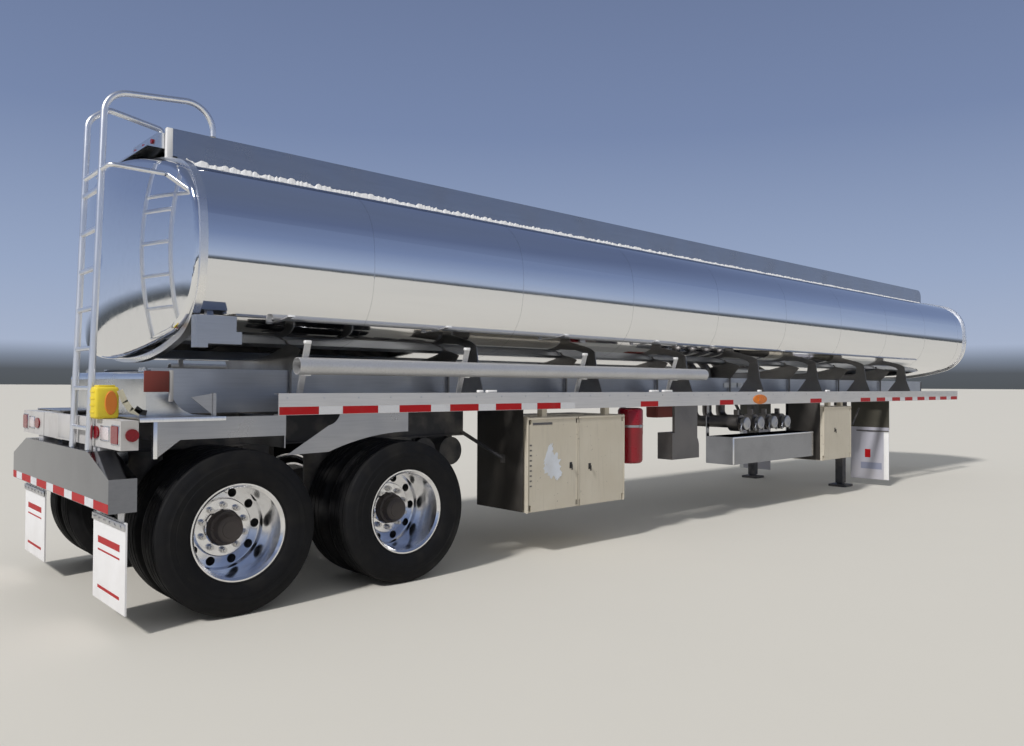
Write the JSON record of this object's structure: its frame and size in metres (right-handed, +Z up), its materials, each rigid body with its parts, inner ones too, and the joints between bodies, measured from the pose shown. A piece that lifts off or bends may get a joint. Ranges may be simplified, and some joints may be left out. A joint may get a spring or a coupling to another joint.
{
  "type": "fuel tanker trailer",
  "caption": "Road semi-trailer with a long oval polished tank on tandem twin wheels and landing legs, with tool cabinets and a rear ladder.",
  "frame": {"origin": "on the ground, under the middle of the trailer's overall box", "axes": "+X forward towards the kingpin, +Y to the trailer's left, +Z up"},
  "size_m": [13.7, 2.472, 3.2781],
  "materials": {
    "amber_lens": "moulded lens",
    "beige_cabinet": "matte, dusty",
    "bright_ring": "bright satin",
    "brushed_aluminium": "satin, weathered",
    "dark_metal": "cast, weathered",
    "grey_steel": "dark grey paint, dusty",
    "light_panel": "pale paint",
    "polished_tank": "mirror polished",
    "polished_trim": "polished",
    "polished_wheel": "polished",
    "red_lens": "moulded lens",
    "red_paint": "gloss",
    "tyre_rubber": "matte",
    "white_flap": "flexible sheet"
  },
  "bodies": {
    "chassis": {"air_reservoirs": "grey_steel", "arch_plates": "brushed_aluminium", "axles": "grey_steel", "bogie_frame": "grey_steel", "coupler_plate": "brushed_aluminium", "cross_panels": "polished_trim", "document_tube": "brushed_aluminium", "extinguisher": "red_paint", "extinguisher_bracket": "brushed_aluminium", "frame_beams": "brushed_aluminium", "front_mud_flaps": "white_flap", "head_rings": "bright_ring", "hose_trays": "brushed_aluminium", "kingpin": "grey_steel", "ladder": "brushed_aluminium", "landing_gear": "grey_steel", "large_cabinet": "beige_cabinet", "light_bar": "light_panel", "manhole_collars": "polished_trim", "manifold": "dark_metal", "marker_lamps": "amber_lens", "nose_connections": "grey_steel", "overturn_rail_left": "brushed_aluminium", "overturn_rail_right": "brushed_aluminium", "rear_bumper": "polished_trim", "rear_fittings": "polished_trim", "rear_lamps": "red_lens", "rear_mud_flaps": "white_flap", "saddles": "brushed_aluminium", "side_rail_left": "brushed_aluminium", "side_rail_right": "brushed_aluminium", "small_cabinet": "beige_cabinet", "spill_trough": "brushed_aluminium", "splash_panels": "brushed_aluminium", "suspension": "grey_steel", "tank_head_front": "polished_tank", "tank_head_rear": "polished_tank", "tank_shell": "polished_tank", "vapour_line": "polished_trim", "walkway": "brushed_aluminium"},
    "wheel_rear_left": {"tyres_rear_left": "tyre_rubber", "wheels_rear_left": "polished_wheel"},
    "wheel_rear_right": {"tyres_rear_right": "tyre_rubber", "wheels_rear_right": "polished_wheel"},
    "wheel_front_left": {"tyres_front_left": "tyre_rubber", "wheels_front_left": "polished_wheel"},
    "wheel_front_right": {"tyres_front_right": "tyre_rubber", "wheels_front_right": "polished_wheel"},
    "cabinet_door_rear": {"large_cabinet_door_rear": "beige_cabinet"},
    "cabinet_door_front": {"large_cabinet_door_front": "beige_cabinet"},
    "small_door": {"small_cabinet_door": "beige_cabinet"},
    "lid_1": {"manhole_lid_1": "polished_trim"},
    "lid_2": {"manhole_lid_2": "polished_trim"},
    "lid_3": {"manhole_lid_3": "polished_trim"},
    "lid_4": {"manhole_lid_4": "polished_trim"}
  },
  "joints": [
    {"name": "roll_rear_left", "type": "hinge", "parent": "chassis", "child": "wheel_rear_left", "pos_m": [-6.095, 0.908, 0.51], "axis": [0, 1, 0], "continuous": true},
    {"name": "roll_rear_right", "type": "hinge", "parent": "chassis", "child": "wheel_rear_right", "pos_m": [-6.095, -0.908, 0.51], "axis": [0, 1, 0], "continuous": true},
    {"name": "roll_front_left", "type": "hinge", "parent": "chassis", "child": "wheel_front_left", "pos_m": [-4.85, 0.908, 0.51], "axis": [0, 1, 0], "continuous": true},
    {"name": "roll_front_right", "type": "hinge", "parent": "chassis", "child": "wheel_front_right", "pos_m": [-4.85, -0.908, 0.51], "axis": [0, 1, 0], "continuous": true},
    {"name": "open_cabinet_rear", "type": "hinge", "parent": "chassis", "child": "cabinet_door_rear", "pos_m": [-3.656, -1.191, 0.765], "axis": [0, 0, -1], "range_deg": [0, 110]},
    {"name": "open_cabinet_front", "type": "hinge", "parent": "chassis", "child": "cabinet_door_front", "pos_m": [-2.429, -1.191, 0.765], "axis": [0, 0, 1], "range_deg": [0, 110]},
    {"name": "open_small_cabinet", "type": "hinge", "parent": "chassis", "child": "small_door", "pos_m": [2.276, -1.191, 0.83], "axis": [0, 0, 1], "range_deg": [0, 110]},
    {"name": "open_lid_1", "type": "hinge", "parent": "chassis", "child": "lid_1", "pos_m": [-5.051, 0, 2.9933], "axis": [0, -1, 0], "range_deg": [0, 100]},
    {"name": "open_lid_2", "type": "hinge", "parent": "chassis", "child": "lid_2", "pos_m": [-2.051, 0, 2.9933], "axis": [0, -1, 0], "range_deg": [0, 100]},
    {"name": "open_lid_3", "type": "hinge", "parent": "chassis", "child": "lid_3", "pos_m": [0.949, 0, 2.9933], "axis": [0, -1, 0], "range_deg": [0, 100]},
    {"name": "open_lid_4", "type": "hinge", "parent": "chassis", "child": "lid_4", "pos_m": [3.949, 0, 2.9933], "axis": [0, -1, 0], "range_deg": [0, 100]}
  ]
}
